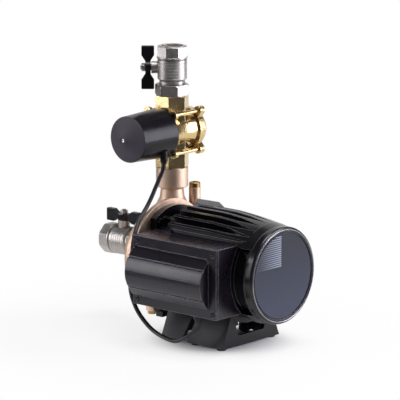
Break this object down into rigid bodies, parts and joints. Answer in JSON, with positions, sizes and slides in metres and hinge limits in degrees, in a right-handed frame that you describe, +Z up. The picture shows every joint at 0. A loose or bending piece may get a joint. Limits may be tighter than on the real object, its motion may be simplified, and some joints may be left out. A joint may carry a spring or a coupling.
{
  "type": "booster pump",
  "caption": "End-suction booster pump with a finned wet-rotor motor on a footed base, a flow switch above the discharge and union ball valves at both pipe ends.",
  "frame": {"origin": "on the floor under the middle of the pump's length and width", "axes": "+X along the motor axis towards the end cap, -Y towards the terminal box, +Z up"},
  "size_m": [0.326, 0.191, 0.394],
  "materials": {
    "black_paint": "smooth black paint, satin",
    "black_plastic": "moulded, satin",
    "dark_plastic": "moulded, satin",
    "label_disc": "printed film, satin",
    "steel": "turned or sheet steel",
    "windings": "enamelled copper wire",
    "bronze": "cast bronze, fine sand texture",
    "brass": "polished brass",
    "nickel": "nickel plating on brass",
    "rubber": "moulded rubber or soft cord sheath",
    "pale_plastic": "moulded, satin",
    "board": "lacquered board"
  },
  "bodies": {
    "pump": {"motor_housing": "black_paint", "motor_bracket": "black_paint", "bearing_plate": "steel", "end_cap": "black_paint", "label_disc": "label_disc", "stator_core": "steel", "stator_windings": "windings", "rotor_can": "steel", "front_bearing": "dark_plastic", "rear_bearing": "dark_plastic", "pump_casing": "bronze", "casing_o_ring": "rubber", "casing_bolts": "steel", "priming_plug": "brass", "drain_plug": "brass", "terminal_box": "black_plastic", "terminal_gasket": "rubber", "terminal_cover": "black_plastic", "cover_screws": "steel", "terminal_block": "pale_plastic", "capacitor": "pale_plastic", "capacitor_clip": "steel", "cord_gland": "dark_plastic", "supply_gland": "dark_plastic", "base": "black_paint", "rubber_feet": "rubber", "base_screws": "steel", "flow_body": "brass", "flow_rear_cover": "brass", "flow_flange_screws": "steel", "flow_cover": "dark_plastic", "flow_cover_screw": "steel", "flap_pin": "steel", "sensor_board": "board", "strain_relief": "dark_plastic", "flow_cord": "rubber", "flow_o_ring": "rubber", "outlet_valve_body": "nickel", "outlet_ball_seats": "pale_plastic", "outlet_union_nut": "nickel", "outlet_tailpiece": "nickel", "inlet_valve_body": "nickel", "inlet_ball_seats": "pale_plastic", "inlet_union_nut": "nickel", "inlet_tailpiece": "nickel"},
    "rotor": {"rotor_core": "steel", "shaft": "steel", "impeller": "brass", "impeller_nut": "steel"},
    "outlet_lever": {"outlet_handle": "dark_plastic", "outlet_handle_nut": "nickel", "outlet_stem": "nickel", "outlet_ball": "steel"},
    "inlet_lever": {"inlet_handle": "dark_plastic", "inlet_handle_nut": "nickel", "inlet_stem": "nickel", "inlet_ball": "steel"},
    "flap": {"flow_flap": "dark_plastic"}
  },
  "joints": [
    {"name": "rotor_spin", "type": "hinge", "parent": "pump", "child": "rotor", "pos_m": [-0.041, 0.017, 0.106], "axis": [1, 0, 0], "continuous": true},
    {"name": "outlet_handle_turn", "type": "hinge", "parent": "pump", "child": "outlet_lever", "pos_m": [-0.069, 0.0485, 0.363], "axis": [-0.7478, -0.6639, 0], "range_deg": [0, 90]},
    {"name": "inlet_handle_turn", "type": "hinge", "parent": "pump", "child": "inlet_lever", "pos_m": [-0.132, 0.017, 0.112], "axis": [0, 0, 1], "range_deg": [0, 90]},
    {"name": "flap_lift", "type": "hinge", "parent": "pump", "child": "flap", "pos_m": [-0.069, 0.0645, 0.25865], "axis": [-1, 0, 0], "range_deg": [0, 50]}
  ]
}
